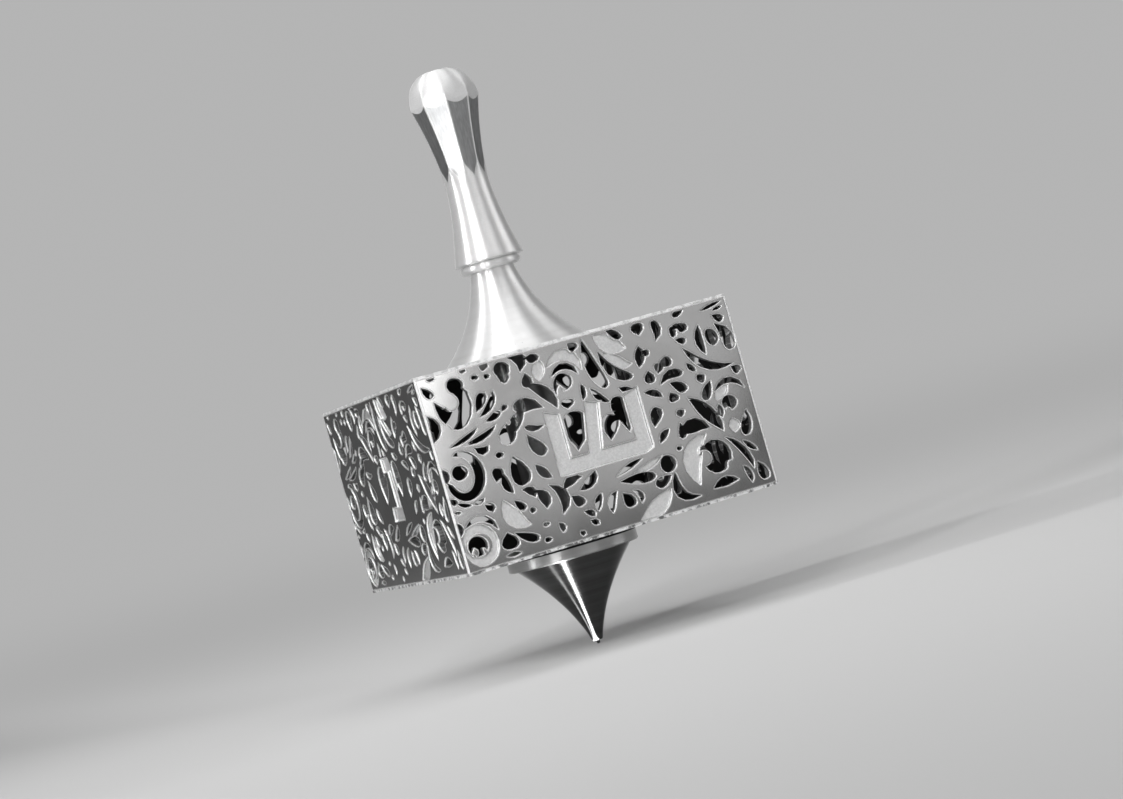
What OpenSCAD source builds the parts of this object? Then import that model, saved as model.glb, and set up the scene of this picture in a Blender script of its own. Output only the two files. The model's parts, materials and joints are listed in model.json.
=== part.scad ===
// A spinning top with four lettered sides: a square box of pierced scrollwork sheets,
// clamped on a threaded rod between a turned handle and a turned tip.
// Millimetres, +Z up. The origin is the point that the top spins on.

/* [Box] */
// Width of the box over two opposite panels
box_w = 44; // [40:1:60]
// Height of the box over both plates
box_h = 25.8; // [22:0.2:34]
// Thickness of the pierced panels
panel_t = 1; // [0.7:0.1:1.4]
// Thickness of the plates that close the box
plate_t = 0.35; // [0.3:0.05:1]
// Depth of the frosted leaves that are sunk into the face of a panel
etch_depth = 0.45; // [0.3:0.05:0.6]
// Plain metal left along the four edges of a panel
border_w = 0.3; // [0.2:0.05:1]
// Thinnest web of metal left between two openings
web_w = 0.2; // [0.1:0.05:0.3]
// Extra width of every opening, on its right side
spread_w = 0.3; // [0:0.05:0.4]

/* [Spindle] */
// Radius of the threaded rod that clamps the pieces together
rod_r = 1.5; // [1:0.1:1.8]
// How far the rod reaches into the handle and into the tip
grip_depth = 6; // [4:0.5:7]
// Outer radius of the spacer tube between the two plates
core_r = 4; // [3:0.1:6]

/* [Tip] */
// Height of the tip, from its point to the flange disc
tip_h = 12.2; // [10:0.2:16]
// Radius of the tip where it meets the flange disc
tip_r = 8; // [6:0.2:8.6]
// Radius of the small round nib at the point
nib_r = 0.25; // [0.2:0.05:0.5]
// How far the nib stands out of the end of the cone
nib_h = 0.5; // [0.4:0.05:1]
// Radius of the end of the cone, round the nib
cone_r = 0.75; // [0.6:0.05:1.2]
// Radius of the flange disc
disc_r = 9; // [8.8:0.1:12]
// Thickness of the flange disc
disc_t = 1.9; // [1.2:0.1:3]
// Height of the shoulder between the flange disc and the box
shoulder_h = 0.3; // [0.2:0.1:1]
// Radius of that shoulder
shoulder_r = 8.2; // [6:0.1:8.6]

/* [Bell] */
// Height of the flared bell under the handle
bell_h = 12.1; // [9:0.1:16]
// Radius of the bell on the box
bell_r = 10.5; // [8:0.1:14]
// Radius of the bell at its neck
neck_r = 3; // [2.6:0.1:4]

/* [Handle] */
// Height of the handle above the bell
handle_h = 27.7; // [22:0.1:36]
// Height of the rounded bead under the collar
bead_h = 1.1; // [0.8:0.1:1.6]
// Radius of the bead
bead_r = 4.2; // [3.6:0.1:4.4]
// Radius of the sharp collar above the bead
collar_r = 4.7; // [4.5:0.1:6]
// Height of the collar's edge
collar_h = 0.5; // [0.3:0.1:1]
// Radius of the waist between the collar and the knob
waist_r = 3; // [2.7:0.1:3.6]
// Height of the waist above the collar
waist_h = 10.5; // [8:0.1:14]
// Largest radius of the knob
knob_r = 4.8; // [4:0.1:6]
// Height of the domed top of the knob
dome_h = 4.5; // [3:0.1:6]
// Radius of the flat on top of the knob
flat_r = 1.5; // [1:0.1:2.2]
// Number of flats ground round the upper part of the handle
flat_count = 12; // [8:1:12]
// Depth of those flats at the knob
flat_depth = 0.16; // [0.1:0.01:0.3]

/* [Letters] */
// Width of the solid bars that carry the letter of a panel
bar_w = 2.6; // [2:0.1:3.2]

/* [Hidden] */

// Overrun of every cut past the face that it leaves
cut = 1;
// Clearance of the rod in the holes that it passes, and in the threads that hold it
rod_clear = 0.1;
thread_clear = 0.03;
// Room left past each end of the rod
end_gap = 0.5;
// Rim of plain metal left between a sunk leaf and an opening
etch_rim = 0.15;

disc_z = tip_h;
box_z = disc_z + disc_t + shoulder_h;
box_top = box_z + box_h;
handle_z = box_top + bell_h;
waist_z = bead_h + collar_h + waist_h;
knob_z = handle_h - dome_h;
panel_h = box_h - 2 * plate_t;

// Steps of a turned curve, and of a rounded edge
curve_steps = 16;
edge_steps = 6;
// How the turned curves run: 1 is straight, more is hollower
tip_taper_share = 0.46;
bell_taper_share = 0.42;
bell_power = 2.6;
collar_power = 1.58;
knob_power = 1.7;
// The flats start this share of their depth clear of the waist
flat_lead_share = 0.7;

// Pierced scrollwork. Every place is a share of the box face in hundredths: across from
// its left edge, then up from its bottom edge. A width or radius is a share of its height.

// Slits that are pointed at both ends: from, to, bow to the left of that way, width
slit_shares = [
    // Left: round the comma, the fan of plumes and the eyes
    [3.2, 98.8, 6.2, 96.8, 0, 3.4], [0.9, 80.5, 0.4, 66.5, 0.18, 4.6], [16, 73, 22, 84, -0.12, 3],
    [5, 62.5, 14.5, 68.5, -0.05, 2.3], [9, 62, 20.2, 67.5, -0.08, 2.8],
    [12, 59.4, 16.4, 58.8, -0.3, 4], [1, 53.5, 1.2, 46, 0, 3], [2.4, 35.6, 6.8, 33, -0.08, 2],
    [7.2, 33, 10.8, 34.6, -0.08, 2], [0.8, 31.4, 3, 30.8, 0, 1.6], [10.2, 31.8, 12.3, 26.8, 0.1, 3.6],
    [18.4, 43.8, 19.9, 32.8, -0.18, 3.6], [2.2, 22.3, 12.4, 17.8, 0.32, 3],
    [0.9, 26.5, 0.9, 19.5, 0, 2.4], [12.3, 4.4, 17.2, 4.2, 0, 2],
    // Upper middle: the hooked leaf and the spiral
    [28, 98.2, 31.6, 89, 0.42, 6], [29.5, 72.5, 21.8, 59.5, 0.02, 5.5], [31.8, 82.6, 39.8, 66.8, 0.12, 5.6],
    [42, 82.5, 41, 72, -0.12, 2], [40.2, 82.5, 48.8, 80.5, 0.33, 3.2],
    [48.5, 75.6, 47.9, 67, 0.05, 1.7], [51, 72.3, 56, 63, -0.12, 3], [59.6, 68.6, 64.4, 65.8, -0.1, 3.4],
    // Upper right: the second spiral and its leaves
    [67.6, 75.2, 69.2, 86, 0, 4.4], [80.4, 90.4, 85, 90.2, 0, 2.8], [91, 94.4, 98.4, 97, 0, 1.7],
    [94.8, 93.2, 98.3, 94.4, 0, 1.6], [89.2, 88.2, 89.2, 72.6, -0.14, 3.4],
    [82.2, 79.4, 97, 65, -0.17, 4.4], [82.3, 71.2, 84.6, 66, -0.1, 2.4], [79.6, 54.5, 88, 33.4, 0.04, 6.6],
    [88.2, 53.3, 98.2, 51.5, 0.3, 3], [88.7, 47, 88.7, 40, -0.1, 2.4],
    // Lower right: the great scroll
    [73.6, 36.4, 84.2, 36.8, 0.2, 7.4], [69.4, 21, 75.6, 5.6, -0.36, 4.6], [87.6, 30.4, 94, 11, 0.1, 2.8],
    [92.8, 26.3, 96.7, 19.5, -0.05, 2.2], [79.8, 7, 88.4, 8, 0.1, 4.8], [90.8, 14, 92.2, 4.6, 0.05, 2],
    // Lower middle: the nest of leaves under the letter
    [22.4, 33.2, 25.8, 28, 0.2, 4], [26.3, 31.5, 28.2, 21, 0.14, 5], [30.6, 32, 32.4, 16, 0.26, 4.6],
    [34.6, 27.5, 41.2, 31.4, 0.15, 4.6], [45.6, 32.6, 39.4, 25, 0.12, 4.4], [30.4, 12.8, 30.9, 7.6, 0.1, 2],
    [36.2, 5.9, 36.7, 3.1, 0, 1.8], [45.6, 20.8, 43.2, 12.6, -0.15, 2.8], [38.8, 14.5, 41.8, 10.6, 0.1, 2.8],
    [40, 9.4, 42.4, 6.6, 0, 2.6], [50.4, 19.8, 47.4, 9.6, -0.2, 3.2], [51.4, 26.2, 60.8, 31.8, 0.03, 2.6],
    [55, 18, 56.8, 10.3, 0.2, 2],
    // Beside the letter
    [28.4, 43.4, 32.4, 35, -0.1, 4], [66.8, 62.5, 72.2, 58, 0.1, 3.4], [67.4, 36, 71.4, 42, 0.1, 3.2]
];

// Openings that start in a point and end round: the same six values
drop_shares = [
    // Left
    [1.5, 94.5, 4, 88.3, -0.05, 3.4], [11.8, 94, 7.4, 71, 0.15, 10.4], [4, 86, 6.6, 74, 0, 4],
    [20.2, 98.5, 21.8, 95, 0, 3.8], [15.5, 75.8, 18.6, 84.4, -0.03, 4.4],
    [17.2, 70.2, 22.2, 73.6, -0.08, 3.2], [22.9, 72.8, 24.5, 75.6, 0, 2.2],
    [25.2, 68.2, 20.6, 57.6, 0.06, 7.8], [0.4, 38.6, 2.1, 35.3, 0, 2.6], [15.6, 40.3, 17, 46.8, 0, 5.2],
    [22.4, 50.5, 24, 35.4, -0.04, 9], [19.2, 29.4, 21.8, 23.8, -0.05, 3.4],
    [16.6, 14.2, 23.6, 8.4, -0.06, 4.2], [14.6, 15.4, 14.3, 7, 0, 8.4],
    // Upper middle
    [25, 93, 27.4, 86.8, -0.1, 4.8], [47.9, 96.4, 49.9, 92.6, 0, 4.6], [33, 88, 32.3, 80.8, 0, 4.6],
    [35.6, 69.3, 26.6, 72, -0.14, 7], [42.8, 65.4, 42.8, 69.8, 0, 6], [52.4, 97, 56, 70.4, -0.08, 6.2],
    [56.3, 89, 65, 72.2, -0.19, 5.4], [60.2, 98.8, 64.4, 92, 0, 3.6], [70.4, 90.8, 69.8, 97, 0, 6],
    [74.8, 85.8, 75.2, 96, -0.15, 3.8], [70, 72.6, 69.3, 66.4, 0, 4.8],
    // Upper right
    [86.2, 98, 82.1, 95.4, 0, 3], [94.2, 91.3, 97.4, 87.6, -0.05, 3.8], [80.8, 83.9, 84, 81.8, 0, 3.2],
    [68.8, 81.5, 72, 81.6, 0, 3.4], [72.8, 69.8, 73.6, 75, 0, 4.2], [73.4, 73.5, 78, 75.2, 0, 5.2],
    [72.5, 64.2, 80.2, 66.6, 0.2, 4.6], [75.4, 64, 79.6, 57.8, 0.06, 4.8],
    [74.8, 59.2, 75.4, 54.2, 0, 4.6], [77.7, 48.8, 75, 47.4, 0, 3.8], [94.2, 87, 96.8, 72, 0.14, 6],
    [87, 63, 84.2, 61.2, 0, 4.8], [88.2, 59.6, 84.8, 50.6, -0.06, 4.2], [95.7, 63.6, 98, 60.2, 0, 4.2],
    // Lower right
    [96.6, 40.8, 94.2, 28.4, 0, 4.8], [95.5, 14, 96.7, 4.4, 0, 4.6], [78.6, 24.8, 80.8, 28.8, 0, 3.4],
    [75.2, 43.4, 74.6, 35.4, 0, 3],
    // Lower middle
    [36.4, 23.6, 38.8, 17.6, 0.05, 4.8], [52, 23.4, 63.4, 21.6, 0, 5.4], [68.2, 19.6, 62.6, 16.2, 0, 5.2],
    [51.8, 17.8, 53.6, 10, 0.05, 5.4],
    // Beside and between the strokes of the letter
    [28.4, 58.6, 32.6, 47.5, -0.1, 6], [42.3, 44, 44, 63.5, 0, 12], [53, 44.5, 55, 57, 0.05, 7.6],
    [59.4, 46, 57, 64.5, -0.05, 8.4], [67.2, 44.5, 70, 53.5, 0.1, 5.6], [34.4, 61, 28.4, 62.6, 0.12, 3]
];

// Oval openings: place, half width as a share of the face's width, half height, turn
eye_shares = [
    [9.3, 77.5, 3.6, 6.5, 0], [11.2, 91.2, 2.2, 3.8, 0], [17.6, 92.3, 0.8, 1.3, 0],
    [21.2, 91.5, 0.6, 1.3, 0], [14.6, 97.2, 0.7, 1.2, 0], [18.5, 52.7, 1, 1.4, 0],
    [26.2, 92.8, 2.2, 3.8, 0], [36.2, 94, 1.7, 2.3, 0], [43.3, 78.8, 2.4, 4.4, 0],
    [5.5, 49.6, 2.1, 3.6, 0], [23.6, 22.3, 0.6, 1.4, 0], [26.4, 13.8, 0.7, 1, 0],
    [25.7, 6.3, 0.8, 1.2, 0], [4.7, 13, 2.7, 5, 0], [80.6, 88, 0.8, 2.8, 0],
    [83.9, 89, 1.4, 2.4, 0], [92.1, 80.5, 1.7, 4.4, 12], [91.8, 46.3, 2.1, 3.8, 0],
    [72.5, 31.2, 0.6, 1.1, 0], [67.8, 25.4, 2.2, 4.4, 0], [83.2, 22.3, 4.5, 8.4, 0]
];

// Crescents along an oval: place, half width, half height, from angle, to angle, width
hoop_shares = [[6.3, 48, 4.9, 10.6, -172, 105, 4.6]];

// Round ends of tendrils left standing in the openings: place and radius
ball_shares = [
    [8.8, 83.7, 4.4], [23.8, 67, 1.6], [29.2, 91.5, 2], [6.3, 10.3, 1.5], [90.9, 42.4, 2.2],
    [79.6, 23, 4.2], [87.2, 15.3, 3.4]
];

// Tendrils left standing in the openings: as a slit
tendril_shares = [[40.9, 71.5, 42.2, 78, 0, 2.4], [2.9, 7, 3.8, 13, 0, 2.4]];

// Sunk leaves: as a slit
leaf_shares = [
    [56, 98, 65.8, 86.4, -0.08, 10], [57.4, 88.6, 66.4, 78.2, -0.15, 7.5],
    [38.8, 92.8, 36.4, 81.8, -0.1, 6.5], [38.8, 86.5, 50.4, 80.5, 0.42, 6.5],
    [82.9, 35.3, 76.2, 9.5, -0.25, 10], [91.2, 30.6, 91.8, 39, 0, 6], [88, 48.6, 93.4, 56.4, 0.05, 6.5],
    [55.4, 25.2, 68, 31.4, -0.06, 4], [54.4, 2, 67.2, 14.2, -0.08, 9], [16, 32, 22.8, 15.6, -0.2, 9]
];

// Sunk ovals round an eye: place, half width and half height of the middle of the ring, width
ring_leaf_shares = [[5.7, 13.2, 4.1, 8.2, 5]];

// Solid bars that carry the letter of each panel, from and to: front, right, back, left
letter_bar_shares = [
    [[36.5, 37.8, 63, 37.8], [37.5, 37.8, 37.5, 66], [47, 38, 50.6, 66], [63, 37.8, 63, 66]],
    [[41, 63.5, 60, 63.5], [59, 66, 59, 36], [42.5, 53, 42.5, 36]],
    [[46, 63.5, 52.5, 63.5], [52, 66, 55, 36], [52.5, 45, 45, 36]],
    [[46, 63.5, 54, 63.5], [53, 66, 53, 36], [45, 37.8, 55, 37.8]]
];

hundredth = 0.01;
// Where along a drop its width is greatest
drop_peak_share = 0.68;
// Steps of a stroke as long as the box is high, of small and large eyes, and of a hoop
stroke_steps = 11;
eye_steps = [8, 16];
hoop_steps = 22;
// Eyes of less half height than this are small
small_eye_share = 3;

// Place on the face of the box, seen from outside, from its two shares
function at(u, v) = [(u * hundredth - 1 / 2) * box_w, v * hundredth * box_h];

function tall(v) = v * hundredth * box_h;

function left_of(d) = [-d[1], d[0]] / norm(d);

// A stroke follows a curve from its start to its end, bent to one side at the middle
function bend(s) = (at(s[0], s[1]) + at(s[2], s[3])) / 2
    + left_of(at(s[2], s[3]) - at(s[0], s[1])) * 2 * s[4] * norm(at(s[2], s[3]) - at(s[0], s[1]));

function along(s, t) = at(s[0], s[1]) * (1 - t) ^ 2 + bend(s) * 2 * t * (1 - t) + at(s[2], s[3]) * t ^ 2;

function heading(s, t) = (bend(s) - at(s[0], s[1])) * (1 - t) + (at(s[2], s[3]) - bend(s)) * t;

// Long strokes get more points than short ones
function steps_of(s) = 3 + ceil(stroke_steps * norm(at(s[2], s[3]) - at(s[0], s[1])) / box_h);

function slit_width(t) = sin(180 * t);

function drop_width(t) = t < drop_peak_share
    ? sin(90 * t / drop_peak_share)
    : sqrt(max(0, 1 - ((t - drop_peak_share) / (1 - drop_peak_share)) ^ 2));

// A point on the edge of an opening, from the way out of the opening there
function spread(p, way) = p + [spread_w * max(0, way[0]), 0];

function edge(s, t, half) = let (way = left_of(heading(s, t)) * sign(half))
    spread(along(s, t) + way * abs(half), way);

module slit(s) {
    n = steps_of(s);
    half = tall(s[5]) / 2;
    polygon(concat(
        [for (i = [0:n]) edge(s, i / n, half * slit_width(i / n))],
        [for (i = [n - 1:-1:1]) edge(s, i / n, -half * slit_width(i / n))]
    ));
}

module drop(s) {
    n = steps_of(s) + 1;
    half = tall(s[5]) / 2;
    shares = [for (i = [0:n]) 1 - (1 - i / n) ^ 2];
    polygon(concat(
        [for (i = [0:n]) edge(s, shares[i], half * drop_width(shares[i]))],
        [for (i = [n - 1:-1:1]) edge(s, shares[i], -half * drop_width(shares[i]))]
    ));
}

module eye(s) {
    middle = at(s[0], s[1]);
    n = eye_steps[s[3] < small_eye_share ? 0 : 1];
    polygon([for (i = [0:n - 1])
        let (a = 360 * i / n,
            x = s[2] * hundredth * box_w * cos(a),
            y = tall(s[3]) * sin(a))
        spread(middle + [x * cos(s[4]) - y * sin(s[4]), x * sin(s[4]) + y * cos(s[4])], [cos(a), sin(a)])]);
}

module hoop(s) {
    n = hoop_steps;
    middle = at(s[0], s[1]);
    half = tall(s[6]) / 2;
    function rim(t, k) = let (a = s[4] + (s[5] - s[4]) * t, out = [cos(a), sin(a)])
        spread(middle + [(s[2] * hundredth * box_w + k) * cos(a), (tall(s[3]) + k) * sin(a)], sign(k) * out);
    polygon(concat(
        [for (i = [0:n]) rim(i / n, half * slit_width(i / n) ^ (1 / 2))],
        [for (i = [n - 1:-1:1]) rim(i / n, -half * slit_width(i / n) ^ (1 / 2))]
    ));
}

// A ball keeps its right side and loses what the opening round it gains on its left
module ball(s) {
    polygon([for (i = [0:eye_steps[1] - 1])
        let (a = 360 * i / eye_steps[1])
        spread(at(s[0], s[1]) + tall(s[2]) * [cos(a), sin(a)], [-cos(a), 0])]);
}

module bar(s, w) {
    across = left_of(at(s[2], s[3]) - at(s[0], s[1])) * w / 2;
    ends = [at(s[0], s[1]), at(s[2], s[3])];
    polygon([ends[0] + across, ends[1] + across, ends[1] - across, ends[0] - across]);
}

module letter_bed(face) {
    for (s = letter_bar_shares[face]) bar(s, bar_w);
}

// Outline of the pierced sheet of one panel
module pierced_outline(face) {
    offset(delta = web_w / 2) offset(delta = -web_w / 2)
    difference() {
        translate([-box_w / 2, plate_t]) square([box_w, panel_h]);
        intersection() {
            translate([border_w - box_w / 2, plate_t + border_w])
                square([box_w - 2 * border_w, panel_h - 2 * border_w]);
            difference() {
                union() {
                    for (s = slit_shares) slit(s);
                    for (s = drop_shares) drop(s);
                    for (s = eye_shares) eye(s);
                    for (s = hoop_shares) hoop(s);
                }
                for (s = ball_shares) ball(s);
                for (s = tendril_shares) slit(s);
                letter_bed(face);
            }
        }
    }
}

// Outline of the leaves that are sunk into that sheet, a rim clear of its openings
module etched_outline(face) {
    offset(delta = -etch_rim) intersection() {
        pierced_outline(face);
        union() {
            for (s = leaf_shares) slit(s);
            for (s = ring_leaf_shares) difference() {
                eye([s[0], s[1], s[2] * (1 + s[4] / s[3] / 2), s[3] + s[4] / 2, 0]);
                eye([s[0], s[1], s[2] * (1 - s[4] / s[3] / 2), s[3] - s[4] / 2, 0]);
            }
        }
    }
}

// Corner of the panel that its neighbour takes
module mitre_cut() {
    translate([box_w / 2, -box_w / 2, box_z - cut]) rotate([0, 0, 45]) translate([0, -cut, 0])
        cube([2 * panel_t + cut, 2 * panel_t + 2 * cut, box_h + 2 * cut]);
}

// A panel stands between the plates, facing -Y before it is turned to its side
module panel(face) {
    color("silver") rotate([0, 0, 90 * face]) difference() {
        translate([0, panel_t - box_w / 2, box_z]) rotate([90, 0, 0])
            linear_extrude(panel_t) pierced_outline(face);
        translate([0, etch_depth - box_w / 2, box_z]) rotate([90, 0, 0])
            linear_extrude(etch_depth + cut) etched_outline(face);
        mitre_cut();
        mirror([1, 0, 0]) mitre_cut();
    }
}

module rod_hole(z, h) {
    translate([0, 0, z - cut]) cylinder(r = rod_r + rod_clear, h = h + 2 * cut, $fn = 48);
}

module plate(z) {
    difference() {
        translate([-box_w / 2, -box_w / 2, z]) cube([box_w, box_w, plate_t]);
        rod_hole(z, plate_t);
    }
}

function mix(a, b, t) = a + (b - a) * t;

// Radius of the handle below and above its waist
function collar_curve(t) = mix(waist_r, collar_r, (1 - t) ^ collar_power);

function knob_curve(t) = mix(waist_r, knob_r, t ^ knob_power);

module handle_round() {
    lip_r = bead_r - bead_h / 2;
    rotate_extrude($fn = 96) polygon(concat(
        [[0, 0], [lip_r, 0]],
        [for (i = [1:edge_steps]) let (a = mix(-90, 90, i / edge_steps))
            [lip_r + bead_h / 2 * cos(a), bead_h / 2 * (1 + sin(a))]],
        [[mix(lip_r, collar_r, 1 / 2), bead_h], [collar_r, bead_h + collar_h / 3]],
        [for (i = [0:curve_steps]) let (t = i / curve_steps)
            [collar_curve(t), mix(bead_h + collar_h, waist_z, t)]],
        [for (i = [1:curve_steps]) let (t = i / curve_steps) [knob_curve(t), mix(waist_z, knob_z, t)]],
        [for (i = [1:edge_steps + 2]) let (a = 90 * i / (edge_steps + 2))
            [mix(flat_r, knob_r, cos(a)), knob_z + dome_h * sin(a)]],
        [[0, handle_h]]
    ));
}

// A prism of flats that follows the knob, clear of the handle below the waist and on the dome
module handle_flats() {
    clear_r = knob_r + cut;
    corner = 1 / cos(180 / flat_count);
    rotate_extrude($fn = flat_count) polygon(concat(
        [[0, -cut], [clear_r, -cut], [clear_r, waist_z - cut]],
        [for (i = [0:curve_steps / 2]) let (t = 2 * i / curve_steps)
            [(knob_curve(t) + mix(flat_lead_share * flat_depth, -flat_depth, t)) * corner,
                mix(waist_z, knob_z, t)]],
        [[(knob_r - flat_depth) * corner, handle_h + cut], [0, handle_h + cut]]
    ));
}

module handle() {
    color("silver") translate([0, 0, handle_z]) difference() {
        intersection() {
            handle_round();
            handle_flats();
        }
        translate([0, 0, -cut])
            cylinder(r = rod_r + thread_clear, h = grip_depth + end_gap + cut, $fn = 48);
    }
}

// Radius of the bell from the box to its neck
function bell_curve(t) = neck_r
    + (bell_r - neck_r) * mix((1 - t) ^ bell_power, 1 - t, bell_taper_share);

module bell() {
    color("silver") difference() {
        translate([0, 0, box_top]) rotate_extrude($fn = 96) polygon(concat(
            [[0, 0]],
            [for (i = [0:curve_steps]) let (t = i / curve_steps) [bell_curve(t), bell_h * t]],
            [[0, bell_h]]
        ));
        rod_hole(box_top, bell_h);
    }
}

module core_tube() {
    color("gray") difference() {
        translate([0, 0, box_z + plate_t]) cylinder(r = core_r, h = panel_h, $fn = 64);
        rod_hole(box_z, box_h);
    }
}

module spindle_rod() {
    bevel = rod_r / 4;
    foot = disc_z - grip_depth;
    top = handle_z + grip_depth;
    color("gray") rotate_extrude($fn = 48) polygon([
        [0, foot], [rod_r - bevel, foot], [rod_r, foot + bevel],
        [rod_r, top - bevel], [rod_r - bevel, top], [0, top]
    ]);
}

module flange_disc() {
    chamfer = disc_t / 12;
    color("gray") difference() {
        translate([0, 0, disc_z]) rotate_extrude($fn = 96) polygon([
            [0, 0], [disc_r - chamfer, 0], [disc_r, chamfer], [disc_r, disc_t - chamfer],
            [disc_r - chamfer, disc_t], [shoulder_r, disc_t], [shoulder_r, disc_t + shoulder_h],
            [0, disc_t + shoulder_h]
        ]);
        rod_hole(disc_z, disc_t + shoulder_h);
    }
}

// A hollow-sided cone with a small round nib at its end
module tip() {
    color("dimgray") difference() {
        rotate_extrude($fn = 96) polygon(concat(
            [for (i = [0:edge_steps]) let (a = mix(-90, 0, i / edge_steps))
                [nib_r * cos(a), nib_r * (1 + sin(a))]],
            [[nib_r, nib_h], [cone_r - nib_r / 2, nib_h]],
            [for (i = [0:curve_steps]) let (t = i / curve_steps)
                [mix(cone_r, tip_r, tip_taper_share * t + (1 - tip_taper_share) * t ^ 2),
                    mix(nib_h + nib_r / 2, tip_h, t)]],
            [[0, tip_h]]
        ));
        translate([0, 0, tip_h - grip_depth - end_gap])
            cylinder(r = rod_r + thread_clear, h = grip_depth + end_gap + cut, $fn = 48);
    }
}

module top_plate() { color("silver") plate(box_top - plate_t); }
module bottom_plate() { color("silver") plate(box_z); }
module front_panel() { panel(0); }
module right_panel() { panel(1); }
module back_panel() { panel(2); }
module left_panel() { panel(3); }

handle();
bell();
top_plate();
front_panel();
right_panel();
back_panel();
left_panel();
bottom_plate();
core_tube();
spindle_rod();
flange_disc();
tip();
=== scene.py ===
import json
import math
import bpy
import bmesh
from mathutils import Matrix, Vector

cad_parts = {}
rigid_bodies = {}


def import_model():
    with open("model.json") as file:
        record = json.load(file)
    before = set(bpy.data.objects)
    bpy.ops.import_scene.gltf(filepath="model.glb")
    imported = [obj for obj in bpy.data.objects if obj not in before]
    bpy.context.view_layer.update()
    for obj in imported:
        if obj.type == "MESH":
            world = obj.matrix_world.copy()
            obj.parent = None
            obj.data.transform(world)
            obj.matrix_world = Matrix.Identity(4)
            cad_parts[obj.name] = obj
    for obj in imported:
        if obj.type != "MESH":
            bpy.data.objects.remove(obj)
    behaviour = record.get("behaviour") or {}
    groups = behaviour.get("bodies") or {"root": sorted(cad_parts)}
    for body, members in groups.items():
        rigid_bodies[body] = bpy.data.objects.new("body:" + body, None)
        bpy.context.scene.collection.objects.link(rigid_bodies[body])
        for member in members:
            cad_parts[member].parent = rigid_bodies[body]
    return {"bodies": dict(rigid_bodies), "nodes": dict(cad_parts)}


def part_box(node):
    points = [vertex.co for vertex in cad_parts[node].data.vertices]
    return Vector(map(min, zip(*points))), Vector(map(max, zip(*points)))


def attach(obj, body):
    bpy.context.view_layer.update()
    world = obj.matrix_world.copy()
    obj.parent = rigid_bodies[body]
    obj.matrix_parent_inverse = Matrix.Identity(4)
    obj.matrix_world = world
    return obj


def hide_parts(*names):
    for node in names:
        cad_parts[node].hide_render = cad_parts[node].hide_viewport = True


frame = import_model()

nodes = frame["nodes"]
kept = set(nodes.values()) | set(frame["bodies"].values())
for thing in list(bpy.data.objects):
    if thing not in kept:
        bpy.data.objects.remove(thing)
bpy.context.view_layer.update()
mm = 0.001

# The four sides of the box, each with the turn that brings the front to it
sides = {"front": 0, "right": 90, "back": 180, "left": 270}
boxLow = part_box("bottom_plate")[0]
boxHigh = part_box("top_plate")[1]
boxHalf = boxHigh.x
boxHeight = boxHigh.z - boxLow.z
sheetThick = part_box("front_panel")[1].y + boxHalf
sunkDepth = 0.45 * mm  # of the leaves, as in the solids
mergeWithin = 0.001 * mm


class Wire:
    # A value or colour in a finish: sums on it add the maths nodes

    def __init__(self, finish, socket):
        self.finish = finish
        self.socket = socket

    def sum(self, operation, *values):
        return self.finish.node("Math", {"operation": operation}, dict(enumerate(values or [self])))

    def __add__(self, other):
        return self.sum("ADD", self, other)

    def __radd__(self, other):
        return self.sum("ADD", other, self)

    def __sub__(self, other):
        return self.sum("SUBTRACT", self, other)

    def __rsub__(self, other):
        return self.sum("SUBTRACT", other, self)

    def __mul__(self, other):
        return self.sum("MULTIPLY", self, other)

    def __rmul__(self, other):
        return self.sum("MULTIPLY", other, self)

    def __truediv__(self, other):
        return self.sum("DIVIDE", self, other)

    def __abs__(self):
        return self.sum("ABSOLUTE", self)

    def larger(self, other):
        return self.sum("MAXIMUM", self, other)

    def smaller(self, other):
        return self.sum("MINIMUM", self, other)

    def above(self, other):
        return self.sum("GREATER_THAN", self, other)

    # Angle of the point (other, self) round the axis, from -pi to pi
    def angle(self, other):
        return self.sum("ARCTAN2", self, other)

    # Runs up from 0 to width and back again, over and over
    def fold(self, width):
        return self.sum("PINGPONG", self, width)

    # 0 below low, 1 above high, and a soft step between them
    def step(self, low, high):
        values = {"Value": self, "From Min": low, "From Max": high}
        return self.finish.node("MapRange", {"interpolation_type": "SMOOTHSTEP"}, values)


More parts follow.
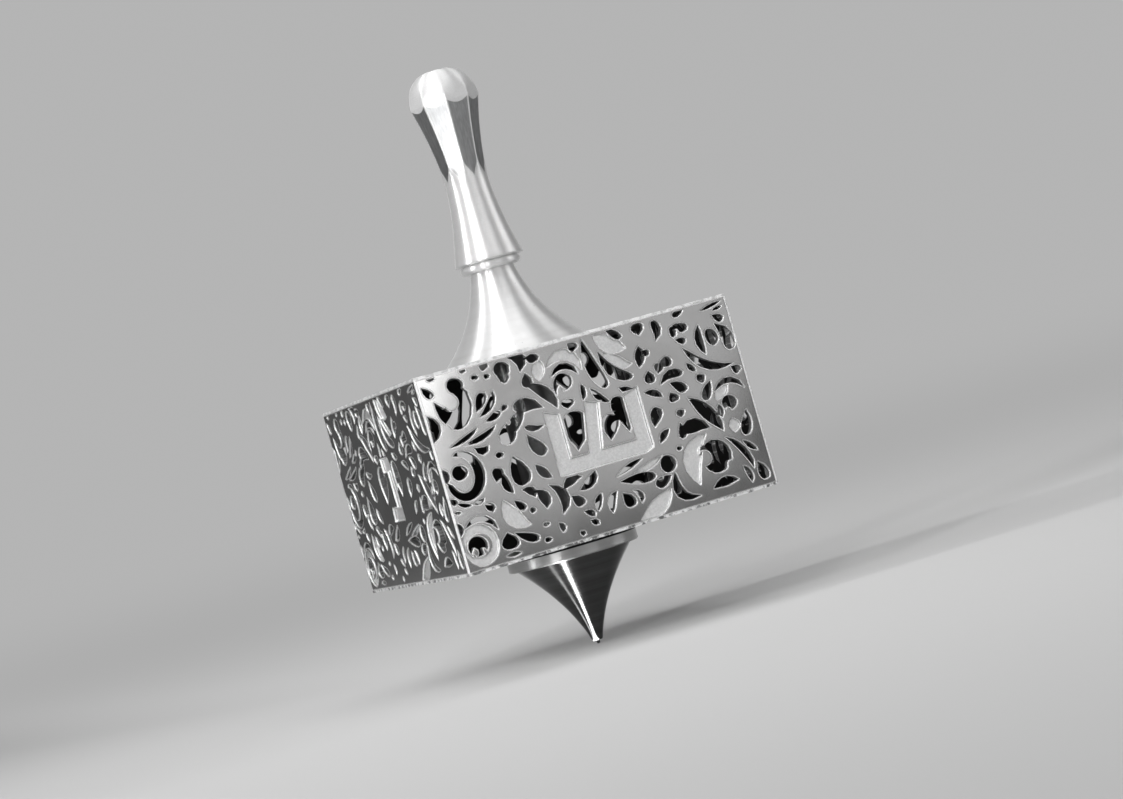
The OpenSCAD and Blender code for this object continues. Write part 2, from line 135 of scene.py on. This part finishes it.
class Finish:
    # One procedural material, or the world's nodes where a tree is given

    def __init__(self, name, tree=None):
        if tree is None:
            self.material = bpy.data.materials.new(name)
            self.material.use_nodes = True
            tree = self.material.node_tree
        self.tree = tree
        self.tree.nodes.clear()

    def node(self, kind, settings, values, output=0):
        made = self.tree.nodes.new("ShaderNode" + kind)
        for name, value in settings.items():
            setattr(made, name, value)
        for name, value in values.items():
            if isinstance(value, Wire):
                self.tree.links.new(value.socket, made.inputs[name])
            else:
                made.inputs[name].default_value = value
        return Wire(self, made.outputs[output])

    def place(self):
        return self.node("TexCoord", {}, {}, "Object")

    def split(self, vector):
        return [self.node("SeparateXYZ", {}, {0: vector}, axis) for axis in range(3)]

    def vector(self, x, y, z):
        return self.node("CombineXYZ", {}, {0: x, 1: y, 2: z})

    # How far one direction runs along another
    def along(self, first, second):
        return self.node("VectorMath", {"operation": "DOT_PRODUCT"}, {0: first, 1: second}, "Value")

    # The direction of the face with its edges rounded by the radius
    def eased(self, radius):
        return self.node("Bevel", {"samples": 6}, {"Radius": radius})

    def noise(self, where, scale, detail, roughness):
        values = {"Vector": where, "Scale": scale, "Detail": detail, "Roughness": roughness}
        return self.node("TexNoise", {}, values)

    def blend(self, amount, first, second):
        return self.node("Mix", {"data_type": "RGBA"}, {0: amount, 6: first, 7: second}, 2)

    def bump(self, height, depth, under=None):
        values = {"Strength": 1.0, "Distance": depth, "Height": height}
        if under:
            values["Normal"] = under
        return self.node("Bump", {}, values)

    def close(self, values):
        self.wireOut(self.node("BsdfPrincipled", {}, values))
        return self.material

    def wireOut(self, shader, kind="Material"):
        output = self.tree.nodes.new("ShaderNodeOutput" + kind)
        self.tree.links.new(shader.socket, output.inputs["Surface"])


def grey(level):
    return (level, level, level, 1.0)


def tinted(level, warmth=0.0):
    return (level * (1 + warmth), level, level * (1 - warmth), 1.0)


# What all turned metal shares. A noise is its scale, detail and roughness, without the scale for
# rings, which each piece sets, and a Step is its two ends
turnedLook = {
    "rings": (3.0, 0.7), "broadRings": (2.0, 0.5), "broader": 9, "ringShare": 0.35,
    "ringStep": (0.3, 0.7), "ringRough": 0.08, "lowWarmth": 0.004, "highWarmth": -0.002,
    "smear": (260.0, 4.0, 0.6), "smearStep": (0.42, 0.72), "smearRough": 0.06,
    "speck": (2600.0, 1.0, 0.5), "speckStep": (0.74, 0.8), "speckShare": 0.5, "speckDark": 0.4,
    "paintedShadeEdge": 0.08 * mm, "paintedShadeTone": 0.02, "roundAxis": 0.25,
}


def turnedMetal(name, settings):
    # Lathe-turned metal: fine rings round the axis, faint smears and specks, and painted shade,
    # near black, above the height it is given
    finish = Finish(name)
    place = finish.place()
    z = finish.split(finish.place())[2]
    perMetre = settings["ringsPerMetre"]
    broadPerMetre = perMetre / turnedLook["broader"]
    rings = finish.noise(finish.vector(0.0, 0.0, z), perMetre, *turnedLook["rings"])
    broad = finish.noise(finish.vector(0.0, 0.0, z), broadPerMetre, *turnedLook["broadRings"])
    smear = finish.noise(place, *turnedLook["smear"]).step(*turnedLook["smearStep"])
    speck = finish.noise(place, *turnedLook["speck"]).step(*turnedLook["speckStep"])
    shade = rings * turnedLook["ringShare"] + broad * (1 - turnedLook["ringShare"])
    low = tinted(settings["low"], turnedLook["lowWarmth"])
    high = tinted(settings["high"], turnedLook["highWarmth"])
    colour = finish.blend(shade.step(*turnedLook["ringStep"]), low, high)
    dark = grey(settings["low"] * turnedLook["speckDark"])
    colour = finish.blend(speck * turnedLook["speckShare"], colour, dark)
    # Painted shade: above this height the colour turns near black, standing in for the shade under
    # the box
    paintedShade = z.step(settings["paintedShadeFrom"], settings["paintedShadeFrom"] + turnedLook["paintedShadeEdge"])
    colour = finish.blend(paintedShade, colour, grey(turnedLook["paintedShadeTone"]))
    roughness = settings["roughness"] + smear * turnedLook["smearRough"]
    roughness = roughness + (rings - 0.5) * turnedLook["ringRough"]
    return finish.close({
        "Base Color": colour, "Metallic": settings["metal"], "Roughness": roughness,
        "Anisotropic": settings["streak"], "Anisotropic Rotation": turnedLook["roundAxis"],
        "Normal": finish.bump(rings, settings["ringDepth"]),
    })


# Heights, radii and flats of the handle, up from its foot and down from its top
handleLow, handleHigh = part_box("handle")
handleShape = {
    "waist": handleLow.z + 12.1 * mm, "knob": handleHigh.z - 4.5 * mm, "dome": 4.5 * mm,
    "waistRadius": 3.0 * mm, "knobRadius": 4.8 * mm, "topRadius": 1.5 * mm, "hollow": 1.7,
    "flats": 9, "turned": 0.264, "flatsFrom": handleLow.z + 12.1 * mm,
    "flatsWhole": handleLow.z + 14.8 * mm, "flatsEnd": handleHigh.z - 1.2 * mm,
    "sharpFrom": 0.54, "cutWithin": 0.002 * mm,
}
handleLook = {
    "low": 0.84, "high": 0.92, "metal": 0.65, "roughness": 0.42, "streak": 0.95,
    "ringsPerMetre": 9000.0, "ringDepth": 0.6e-6, "eased": 0.2 * mm,
    "smearShare": 0.12, "smearDark": 0.75, "smearRough": 0.04,
    "seam": 0.01, "seamEdge": 0.05,
    "flatLow": 0.46, "flatHigh": 0.6, "flatWarmth": -0.01, "flatRough": 0.43,
    "ground": (3600.0, 3.0, 0.65), "groundDrawn": 0.05, "groundStep": (0.3, 0.7),
    "groundRough": 0.1,
    "domeFrom": handleHigh.z - 4.6 * mm, "lobe": 0.6 * mm, "lobeEdge": (-0.05 * mm, 0.12 * mm),
    "frost": (7000.0, 3.0, 0.7), "frostStep": (0.3, 0.75), "frostLow": 0.84, "frostHigh": 0.95,
    "frostRough": 0.5, "frostMetal": 0.5, "frostHeight": 4.0,
}


def turnedHandle(name, settings):
    # Satin turned stem with polished ground flats whose darker tone is painted shade, under a
    # frosted dome that runs down between them
    finish = Finish(name)
    place = finish.place()
    x, y, z = finish.split(finish.place())
    perMetre = settings["ringsPerMetre"]
    rings = finish.noise(finish.vector(0.0, 0.0, z), perMetre, *turnedLook["rings"])
    ground = finish.noise(finish.vector(x, y, z * settings["groundDrawn"]), *settings["ground"])
    smear = finish.noise(place, *turnedLook["smear"]).step(*turnedLook["smearStep"])
    grain = finish.noise(place, *settings["frost"])

    # Where the flats are, and where the frost ends, lower in the middle of each flat
    half = math.pi / handleShape["flats"]
    fromCorner = (y.angle(x) - handleShape["turned"]).fold(half)
    whole = z.step(handleShape["flatsFrom"], handleShape["flatsWhole"])
    seam = settings["seam"] + (1.0 - whole) * half
    flat = fromCorner.step(seam, seam + settings["seamEdge"])
    lobe = settings["domeFrom"] - settings["lobe"] * (fromCorner / half) * (2.0 - fromCorner / half)
    frost = z.step(*[lobe + edge for edge in settings["lobeEdge"]])
    flat = flat * (1.0 - frost)

    low, high = tinted(settings["low"], turnedLook["lowWarmth"]), tinted(settings["high"])
    satin = finish.blend(rings.step(*turnedLook["ringStep"]), low, high)
    dark = grey(settings["low"] * settings["smearDark"])
    satin = finish.blend(smear * settings["smearShare"], satin, dark)
    # The flats are polished, and their darker tone is painted shade
    low, high = [tinted(settings[end], settings["flatWarmth"]) for end in ("flatLow", "flatHigh")]
    polishedWithPaintedShade = finish.blend(ground.step(*settings["groundStep"]), low, high)
    low, high = grey(settings["frostLow"]), grey(settings["frostHigh"])
    frosted = finish.blend(grain.step(*settings["frostStep"]), low, high)
    colour = finish.blend(frost, finish.blend(flat, satin, polishedWithPaintedShade), frosted)

    plain = settings["roughness"]
    roughness = plain + smear * settings["smearRough"] + flat * (settings["flatRough"] - plain)
    roughness = roughness + frost * (settings["frostRough"] - plain)
    roughness = roughness + (ground - 0.5) * settings["groundRough"] * flat
    metal = settings["metal"]
    metallic = metal + flat * (1.0 - metal) + frost * (settings["frostMetal"] - metal)
    height = rings * (1.0 - flat) * (1.0 - frost) + ground * flat
    height = height + grain * frost * settings["frostHeight"]
    return finish.close({
        "Base Color": colour, "Metallic": metallic, "Roughness": roughness,
        "Anisotropic": settings["streak"], "Anisotropic Rotation": turnedLook["roundAxis"],
        "Normal": finish.bump(height, settings["ringDepth"], finish.eased(settings["eased"])),
    })


# Every zone of the sheets: its noise, where it starts and ends, its tones, how rough and metallic
sheetLook = {
    "land": (130.0, 3.0, 0.6), "landStep": (0.35, 0.7), "landLow": 0.4, "landHigh": 0.46,
    "lowWarmth": 0.006, "highWarmth": 0.002, "landRough": 0.07, "cloudRough": 0.02,
    "grain": (9000.0, 2.0, 0.6), "grainDepth": 1.2e-6,
    "deepFrom": (0.02 * mm, 0.09 * mm), "saw": (4200.0, 2.0, 0.6), "sawDrawn": 0.25,
    "sawStep": (0.35, 0.65), "cutLow": 0.13, "cutHigh": 0.24, "cutRough": 0.45, "cutMetal": 0.3,
    "eased": 0.3 * mm, "rimFrom": (0.01, 0.07), "cornerFrom": (0.3 * mm, 0.2 * mm),
    "shallowTo": (0.14 * mm, 0.26 * mm),
    # Rims, corners and wall tops: bright from wear and painted highlight
    "wearAndHighlightLow": 0.92, "wearAndHighlightHigh": 1.0, "wearAndHighlightRough": 0.42, "wearAndHighlightMetal": 0.65,
    "sunkFrom": (0.25 * mm, 0.3 * mm), "sunkTo": (sunkDepth + 0.05 * mm, sunkDepth + 0.1 * mm),
    "facingOut": (0.55, 0.8), "frost": (3600.0, 3.0, 0.75), "frostStep": (0.32, 0.7),
    "frostLow": 0.78, "frostHigh": 0.92, "frostRough": 0.42, "frostHeight": 5.0,
    # The sheet's inner face, inside the box, is painted near black as shade
    "insideShadeFrom": (sheetThick - 0.1 * mm, sheetThick - 0.02 * mm),
    "insideShade": 0.05, "insideShadeWarmth": 0.02,
}


def piercedSheet(name, settings):
    # Satin land, rims bright from wear and painted highlight, grey sawn walls painted dark below
    # their tops as shade, frosted floors in what is sunk, and the inside painted dark as shade
    finish = Finish(name)
    place = finish.place()
    x, y, z = finish.split(finish.place())
    faceX, faceY = finish.split(finish.node("TexCoord", {}, {}, "Normal"))[:2]

    # Depth under the face, and how squarely the surface faces outwards
    depth = boxHalf - abs(x).larger(abs(y))
    sideways = abs(x).above(abs(y))
    outward = abs(faceX) * sideways + abs(faceY) * (1.0 - sideways)
    deep = depth.step(*settings["deepFrom"])
    sunk = depth.step(*settings["sunkFrom"]) * (1.0 - depth.step(*settings["sunkTo"]))
    frost = sunk * outward.step(*settings["facingOut"])
    # Painted shade: the inner face of the sheet, inside the box
    insideShade = depth.step(*settings["insideShadeFrom"]) * (1.0 - frost)

    # Edges made bright, partly worn by hands and partly painted highlight: the rims, the box's
    # corners and the top of each wall
    eased = finish.eased(settings["eased"])
    level = finish.along(eased, finish.node("NewGeometry", {}, {}, "True Normal"))
    rim = (1.0 - level).step(*settings["rimFrom"])
    corner = abs(x).smaller(abs(y)).step(*[boxHalf - edge for edge in settings["cornerFrom"]])
    shallow = deep * (1.0 - depth.step(*settings["shallowTo"]))
    wearAndHighlight = rim.larger(corner).larger(shallow) * (1.0 - frost)
    wall = deep.larger(wearAndHighlight) * (1.0 - frost)

    grain = finish.noise(place, *settings["grain"])
    coarse = finish.noise(place, *settings["frost"])
    cloud = finish.noise(place, *settings["land"]).step(*settings["landStep"])
    drawn = finish.vector(x * settings["sawDrawn"], y * settings["sawDrawn"], z)
    sawn = finish.noise(drawn, *settings["saw"]).step(*settings["sawStep"])
    low = tinted(settings["landLow"], settings["lowWarmth"])
    high = tinted(settings["landHigh"], settings["highWarmth"])
    land = finish.blend(cloud, low, high)
    # The walls below their bright tops are painted dark as shade
    cut = finish.blend(sawn, grey(settings["cutLow"]), grey(settings["cutHigh"]))
    # Painted highlight, with wear: the bright tone of rims, corners and wall tops
    bright = finish.blend(sawn, grey(settings["wearAndHighlightLow"]), grey(settings["wearAndHighlightHigh"]))
    cut = finish.blend(wearAndHighlight, cut, bright)
    low, high = grey(settings["frostLow"]), grey(settings["frostHigh"])
    frosted = finish.blend(coarse.step(*settings["frostStep"]), low, high)
    colour = finish.blend(frost, finish.blend(wall, land, cut), frosted)
    colour = finish.blend(insideShade, colour, tinted(settings["insideShade"], settings["insideShadeWarmth"]))

    plain = settings["landRough"]
    roughness = plain + cloud * settings["cloudRough"] + wall * (settings["cutRough"] - plain)
    roughness = roughness + frost * (settings["frostRough"] - plain)
    roughness = roughness + rim * wall * (settings["wearAndHighlightRough"] - settings["cutRough"])
    dull = wall * (1.0 - settings["cutMetal"] - rim * settings["wearAndHighlightMetal"])
    metallic = 1.0 - dull * (1.0 - insideShade)
    height = grain * (1.0 - frost) + coarse * frost * settings["frostHeight"]
    return finish.close({
        "Base Color": colour, "Metallic": metallic, "Roughness": roughness,
        "Normal": finish.bump(height, settings["grainDepth"], eased),
    })


# What the two plates share, then what each has of its own
plateLook = {
    "brush": (9000.0, 2.0, 0.6), "brushDrawn": 0.06, "brushRough": 0.12, "brushDepth": 2e-6,
    "cloud": (150.0, 3.0, 0.6), "cloudStep": (0.35, 0.7), "cloudRough": 0.015, "lowWarmth": 0.004,
    "skin": (0.3 * mm, 0.42 * mm), "rimFrom": (0.5 * mm, 0.1 * mm), "rimBare": 0.6,
    "patch": (900.0, 3.0, 0.7), "patchStep": (0.38, 0.58),
}


def plainSheet(name, settings):
    # The plates: brushed outside, bright along their rims in patches as painted highlight, painted
    # near black inside the box as shade
    finish = Finish(name)
    place = finish.place()
    x, y, z = finish.split(finish.place())
    brushed = finish.noise(finish.vector(x * plateLook["brushDrawn"], y, z), *plateLook["brush"])
    cloud = finish.noise(place, *plateLook["cloud"]).step(*plateLook["cloudStep"])
    thin, thick = plateLook["skin"]
    # Painted shade: the plates' inner faces, inside the box, are painted near black
    insideShadeLow = z.step(boxLow.z + thin, boxLow.z + thick)
    insideShadeHigh = 1.0 - z.step(boxHigh.z - thick, boxHigh.z - thin)
    rim = abs(x).larger(abs(y)).step(*[boxHalf - edge for edge in plateLook["rimFrom"]])
    low, high = tinted(settings["low"], plateLook["lowWarmth"]), tinted(settings["high"])
    colour = finish.blend(cloud, low, high)
    # Painted highlight along the rims, in bright and dark patches
    patchy = finish.noise(place, *plateLook["patch"]).step(*plateLook["patchStep"])
    edge = finish.blend(patchy, grey(settings["rimLow"]), grey(settings["rimHigh"]))
    colour = finish.blend(rim, colour, edge)
    colour = finish.blend(insideShadeLow * insideShadeHigh * (1.0 - rim), colour, grey(settings["insideShade"]))
    roughness = settings["roughness"] + (brushed - 0.5) * plateLook["brushRough"]
    roughness = roughness + cloud * plateLook["cloudRough"]
    return finish.close({
        "Base Color": colour, "Metallic": 1.0 - rim * plateLook["rimBare"], "Roughness": roughness,
        "Normal": finish.bump(brushed, plateLook["brushDepth"]),
    })


noPaintedShade = 1.0  # higher than any piece, so no painted shade shows
handleFinish = turnedHandle("turned silver handle", handleLook)
bellFinish = turnedMetal("turned silver bell", {
    "low": 0.82, "high": 0.9, "metal": 0.65, "roughness": 0.42, "streak": 0.95,
    "ringsPerMetre": 9000.0, "ringDepth": 0.6e-6, "paintedShadeFrom": noPaintedShade,
})
# The tip's dark tone is painted shade, standing in for the dark that its polish reflects
tipFinish = turnedMetal("polished steel painted dark", {
    "low": 0.09, "high": 0.15, "metal": 1.0, "roughness": 0.16, "streak": 0.8,
    "ringsPerMetre": 8000.0, "ringDepth": 0.4e-6, "paintedShadeFrom": noPaintedShade,
})
# The disc's top band is painted near black as shade, where the box above shades it
discFinish = turnedMetal("polished grey disc", {
    "low": 0.4, "high": 0.52, "metal": 1.0, "roughness": 0.32, "streak": 0.55,
    "ringsPerMetre": 7000.0, "ringDepth": 0.6e-6,
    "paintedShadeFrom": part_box("flange_disc")[1].z - 0.85 * mm,
})
coreFinish = turnedMetal("plain core tube", {
    "low": 0.16, "high": 0.24, "metal": 1.0, "roughness": 0.3, "streak": 0.2,
    "ringsPerMetre": 3000.0, "ringDepth": 1e-6, "paintedShadeFrom": noPaintedShade,
})
rodFinish = turnedMetal("threaded rod", {
    "low": 0.3, "high": 0.45, "metal": 1.0, "roughness": 0.35, "streak": 0.2,
    "ringsPerMetre": 2000.0, "ringDepth": 3e-6, "paintedShadeFrom": noPaintedShade,
})
sheetFinish = piercedSheet("pierced silver sheet", sheetLook)
topFinish = plainSheet("plain silver top plate", {
    "low": 0.55, "high": 0.6, "rimLow": 0.6, "rimHigh": 0.95, "insideShade": 0.05, "roughness": 0.3,
})
bottomFinish = plainSheet("plain silver bottom plate", {
    "low": 0.5, "high": 0.6, "rimLow": 0.14, "rimHigh": 0.85, "insideShade": 0.05, "roughness": 0.3,
})

finishes = {
    "handle": handleFinish, "bell": bellFinish, "tip": tipFinish, "flange_disc": discFinish,
    "core_tube": coreFinish, "spindle_rod": rodFinish,
    "top_plate": topFinish, "bottom_plate": bottomFinish,
}
for nodeName, material in finishes.items():
    nodes[nodeName].data.materials.clear()
    nodes[nodeName].data.materials.append(material)
print("finishes made:", len(finishes), "nodes dressed")


def meshOf(bm, name):
    mesh = bpy.data.meshes.new(name)
    bm.to_mesh(mesh)
    bm.free()
    return mesh


def placed(name, data):
    thing = bpy.data.objects.new(name, data)
    bpy.context.scene.collection.objects.link(thing)
    return thing


def freePiece(name, mesh, material):
    mesh.materials.clear()
    mesh.materials.append(material)
    return placed(name, mesh)


def mergedCopy(nodeName):
    bm = bmesh.new()
    bm.from_mesh(nodes[nodeName].data)
    bmesh.ops.remove_doubles(bm, verts=bm.verts, dist=mergeWithin)
    return bm


# 0 below low, 1 above high, and a soft rise between them
def risen(low, high, z):
    share = min(max((z - low) / (high - low), 0), 1)
    return share * share * (3 - 2 * share)


# Radius of the round handle above its waist, before the flats are ground
def roundRadius(z):
    shape = handleShape
    waist, knob, top = shape["waistRadius"], shape["knobRadius"], shape["topRadius"]
    if z < shape["knob"]:
        share = (z - shape["waist"]) / (shape["knob"] - shape["waist"])
        return waist + (knob - waist) * share ** shape["hollow"]
    share = min((z - shape["knob"]) / shape["dome"], 1)
    return top + (knob - top) * math.sqrt(1 - share * share)


def groundHandle():
    # The turned handle, with broad flats ground from the knob down to the waist
    shape = handleShape
    half = math.pi / shape["flats"]
    bm = mergedCopy("handle")
    for corner in range(shape["flats"]):
        turn = shape["turned"] + corner * 2 * half
        upper = [face for face in bm.faces if face.calc_center_median().z > shape["waist"]]
        edges = {edge for face in upper for edge in face.edges}
        verts = {vert for face in upper for vert in face.verts}
        bmesh.ops.bisect_plane(bm, geom=upper + list(edges) + list(verts),
                               dist=shape["cutWithin"], plane_co=(0, 0, 0),
                               plane_no=(-math.sin(turn), math.cos(turn), 0))
    for vert in bm.verts:
        x, y, z = vert.co
        if shape["waist"] < z < shape["flatsEnd"]:
            fromMiddle = abs((math.atan2(y, x) - shape["turned"]) % (2 * half) - half)
            ground = risen(shape["flatsFrom"], shape["flatsWhole"], z)
            ground *= 1 - risen(shape["knob"], shape["flatsEnd"], z)
            wanted = roundRadius(z) * (1 + ground * (math.cos(half) / math.cos(fromMiddle) - 1))
            vert.co.xy *= wanted / math.hypot(x, y)
    bmesh.ops.triangulate(bm, faces=bm.faces)
    bmesh.ops.recalc_face_normals(bm, faces=bm.faces)
    for face in bm.faces:
        face.smooth = True
    for edge in bm.edges:
        edge.smooth = edge.calc_face_angle(0) < shape["sharpFrom"]
    handle = freePiece("ground_handle", meshOf(bm, "ground_handle"), handleFinish)
    if "custom_normal" in handle.data.attributes:
        handle.data.attributes.remove(handle.data.attributes["custom_normal"])
    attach(handle, "root")
    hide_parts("handle")
    print(handle.name, len(handle.data.polygons), "faces")


groundHandle()

# Each letter is a few strokes: the corners of each, in hundredths of the face, from its lower left
letters = {"depth": 0.42 * mm, "slope": 0.14 * mm, "above": 0.3 * mm}
letterStrokes = {
    "front": [
        [(34.9, 34.4), (37.4, 33.9), (62.8, 33.9), (65.4, 35.6), (65.4, 41.6), (34.9, 41.6)],
        [(35.1, 36), (39.7, 36), (39.7, 64.2), (35.1, 67)],
        [(44.9, 38), (49.3, 38), (52.5, 64.4), (48.3, 67)],
        [(60.7, 36), (65.3, 36), (65.3, 67), (60.7, 64.2)],
    ],
    "right": [
        [(41.4, 60), (61.2, 60), (61.2, 65.2), (59.4, 67.2), (40.2, 67.2)],
        [(56.7, 36.4), (61.3, 36.4), (61.3, 63), (56.7, 63)],
        [(40.2, 36.4), (44.8, 36.4), (44.8, 50.6), (40.2, 52.4)],
    ],
    "back": [
        [(46.6, 60), (54, 60), (54.2, 65.2), (52, 67.4), (46.4, 67.4)],
        [(50.2, 65), (54.4, 65), (57.2, 36.6), (52.8, 36.6)],
        [(42.6, 36.6), (47.4, 36.6), (53.8, 43.4), (53, 48.6)],
    ],
    "left": [
        [(46.8, 60), (55, 60), (55, 65.4), (53.2, 67.4), (46.4, 67.4)],
        [(50.8, 36), (55.2, 36), (55.2, 64), (50.8, 64)],
        [(44.6, 34.2), (55.4, 34.2), (55.4, 41.4), (45.4, 41.4)],
    ],
}


def onFace(share):
    across, up = share
    return Vector(((across / 100 - 0.5) * 2 * boxHalf, -boxHalf, boxLow.z + up / 100 * boxHeight))


def letterCutter(side):
    # One tapered block for each stroke, wider at the face than at its floor
    bm = bmesh.new()
    for stroke in letterStrokes[side]:
        face = bm.faces.new([bm.verts.new(onFace(corner)) for corner in stroke])
        face.normal_update()
        if face.normal.y < 0:
            face.normal_flip()
        bmesh.ops.inset_region(bm, faces=[face], use_boundary=True, use_even_offset=True,
                               thickness=letters["slope"], depth=letters["depth"])
    edges = [edge for edge in bm.edges if edge.is_boundary]
    skirt = bmesh.ops.extrude_edge_only(bm, edges=edges)["geom"]
    moved = [v for v in skirt if isinstance(v, bmesh.types.BMVert)]
    bmesh.ops.translate(bm, verts=moved, vec=(0, -letters["above"], 0))
    bmesh.ops.holes_fill(bm, edges=[edge for edge in bm.edges if edge.is_boundary])
    bmesh.ops.recalc_face_normals(bm, faces=bm.faces)
    return bm


def engravedSheet(side, turn):
    # The pierced sheet with its letter cut in: turned to the front, cut, and turned back
    back = Matrix.Rotation(math.radians(-turn), 4, "Z")
    bm = mergedCopy(side + "_panel")
    bmesh.ops.transform(bm, matrix=back, verts=bm.verts)
    sheet = freePiece(side + "_sheet", meshOf(bm, side + "_plain"), sheetFinish)
    cutter = freePiece(side + "_cutter", meshOf(letterCutter(side), side + "_cutter"), sheetFinish)
    engrave = sheet.modifiers.new("engrave", "BOOLEAN")
    engrave.object = cutter
    engrave.solver = "EXACT"
    engrave.use_self = True
    depsgraph = bpy.context.evaluated_depsgraph_get()
    bm = bmesh.new()
    bm.from_mesh(sheet.evaluated_get(depsgraph).data)
    sheet.modifiers.clear()
    bpy.data.objects.remove(cutter)
    bmesh.ops.remove_doubles(bm, verts=bm.verts, dist=mergeWithin)
    bmesh.ops.triangulate(bm, faces=bm.faces)
    bmesh.ops.transform(bm, matrix=back.inverted(), verts=bm.verts)
    sheet.data = meshOf(bm, side + "_sheet")
    sheet.data.materials.append(sheetFinish)
    sheet.data.shade_flat()
    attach(sheet, "root")
    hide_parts(side + "_panel")
    print(sheet.name, len(sheet.data.polygons), "faces")


for side, turn in sides.items():
    engravedSheet(side, turn)

# Plain floor that fades into a room, which is pale behind the top and dimmer all round
floorLook = {
    "radius": 8.0, "segments": 64, "tone": 0.54, "roughness": 0.5, "fade": 0.3,
    "pale": 0.46, "dim": 0.13, "paleWay": 157, "dimFrom": 0.77, "paleFrom": 0.9,
}


def roomTone(finish, way):
    turn = math.radians(floorLook["paleWay"])
    onto = finish.node("VectorMath", {"operation": "NORMALIZE"}, {0: way}, "Vector")
    share = finish.along(onto, (math.sin(turn), -math.cos(turn), 0.0))
    share = share.step(floorLook["dimFrom"], floorLook["paleFrom"])
    return finish.blend(share, grey(floorLook["dim"]), grey(floorLook["pale"]))


def layFloor():
    bm = bmesh.new()
    bmesh.ops.create_circle(bm, cap_ends=True, segments=floorLook["segments"],
                            radius=floorLook["radius"])
    finish = Finish("plain floor")
    place = finish.place()
    away = finish.node("VectorMath", {"operation": "LENGTH"}, {0: place}, "Value")
    faded = away * away / (away * away + floorLook["fade"] ** 2)
    values = {"Color": grey(floorLook["tone"]), "Roughness": floorLook["roughness"]}
    near = finish.node("BsdfDiffuse", {}, values)
    far = finish.node("Emission", {}, {"Color": roomTone(finish, place), "Strength": 1.0})
    finish.wireOut(finish.node("MixShader", {}, {0: faded, 1: near, 2: far}))
    floor = freePiece("floor", meshOf(bm, "floor"), finish.material)


layFloor()

world = bpy.data.worlds.new("room")
bpy.context.scene.world = world
world.use_nodes = True
room = Finish("room", world.node_tree)
values = {"Color": roomTone(room, room.place()), "Strength": 1.0}
room.wireOut(room.node("Background", {}, values), "World")

middle = Vector((0, 0, 40 * mm))


def around(azimuth, elevation, distance):
    a, e = math.radians(azimuth), math.radians(elevation)
    return Vector((math.sin(a) * math.cos(e), -math.cos(a) * math.cos(e), math.sin(e))) * distance


def rolled(degrees, axis="Z"):
    return Matrix.Rotation(math.radians(degrees), 4, axis)


def areaLamp(name, wide, high, level):
    light = bpy.data.lights.new(name, "AREA")
    light.shape = "RECTANGLE"
    light.size = wide
    light.size_y = high
    light.energy = level * math.pi * wide * high
    holder = placed(name, light)
    holder.visible_camera = False
    return holder


# Lamps: the way to each from the object, its distance, width, height, radiance and roll
lamps = {
    "overhead box": {"from": (-10, 78), "far": 0.6, "size": (0.5, 0.5), "level": 2.0, "roll": 0},
    "front box": {"from": (11.6, 8), "far": 0.7, "size": (0.4, 0.6), "level": 0.68, "roll": -28},
    "main strip": {"from": (-49, 18), "far": 0.6, "size": (0.045, 0.46), "level": 20.0, "roll": 0},
    "left strip": {"from": (-94, 20), "far": 0.6, "size": (0.03, 0.5), "level": 32.0, "roll": 0},
    "middle strip": {"from": (-30, 24), "far": 0.6, "size": (0.06, 0.46), "level": 9.0, "roll": 0},
    "left box": {"from": (-80, 50), "far": 0.6, "size": (0.3, 0.3), "level": 1.4, "roll": 0},
    "right box": {"from": (70, 20), "far": 0.6, "size": (0.3, 0.5), "level": 1.6, "roll": 0},
    "glint": {"from": (17, 6), "far": 0.65, "size": (0.03, 0.3), "level": 2.4, "roll": -28},
}
for name, lamp in lamps.items():
    holder = areaLamp(name, *lamp["size"], lamp["level"])
    away = around(*lamp["from"], lamp["far"])
    turn = away.to_track_quat("Z", "Y").to_matrix().to_4x4()
    holder.matrix_world = Matrix.Translation(middle + away) @ turn @ rolled(lamp["roll"])

# Thin lamps just over the floor that point at the tip: the way out, near end, size and radiance
floorStrips = {
    "tip strip": {"way": -49, "near": 0.5 * mm, "size": (1.4 * mm, 80 * mm), "level": 18.0},
    "thin tip strip": {"way": -80, "near": 0.5 * mm, "size": (0.8 * mm, 80 * mm), "level": 5.0},
}
stripLift = Vector((0, 0, 0.5 * mm))
for name, strip in floorStrips.items():
    holder = areaLamp(name, *strip["size"], strip["level"])
    centre = around(strip["way"], 0, strip["near"] + strip["size"][1] / 2) + stripLift
    holder.matrix_world = Matrix.Translation(centre) @ rolled(strip["way"]) @ rolled(180, "X")
print("floor laid,", len(lamps) + len(floorStrips), "lamps placed")

# The camera of the photograph, leaning so that the top leans to the left
cameraLook = {
    "azimuth": -20.4, "elevation": -0.65, "roll": -16.0, "distance": 403.4 * mm, "aim": 44 * mm,
    "right": 7.1 * mm, "up": -9.55 * mm, "focalPixels": 3000, "frameWidth": 1123, "sensor": 36,
}


def setCamera(look):
    toCamera = around(look["azimuth"], look["elevation"], 1)
    level = (-toCamera).cross(Vector((0, 0, 1))).normalized()
    upright = level.cross(-toCamera)
    roll = math.radians(look["roll"])
    right = level * math.cos(roll) + upright * math.sin(roll)
    up = upright * math.cos(roll) - level * math.sin(roll)
    data = bpy.data.cameras.new("camera")
    data.sensor_width = look["sensor"]
    data.lens = look["focalPixels"] / look["frameWidth"] * look["sensor"]
    camera = placed("camera", data)
    place = toCamera * look["distance"] + Vector((0, 0, look["aim"]))
    place += right * look["right"] + up * look["up"]
    turned = Matrix((right, up, toCamera)).transposed().to_4x4()
    camera.matrix_world = Matrix.Translation(place) @ turned
    bpy.context.scene.camera = camera


setCamera(cameraLook)
bpy.context.scene.view_settings.view_transform = "Standard"
print("camera set")
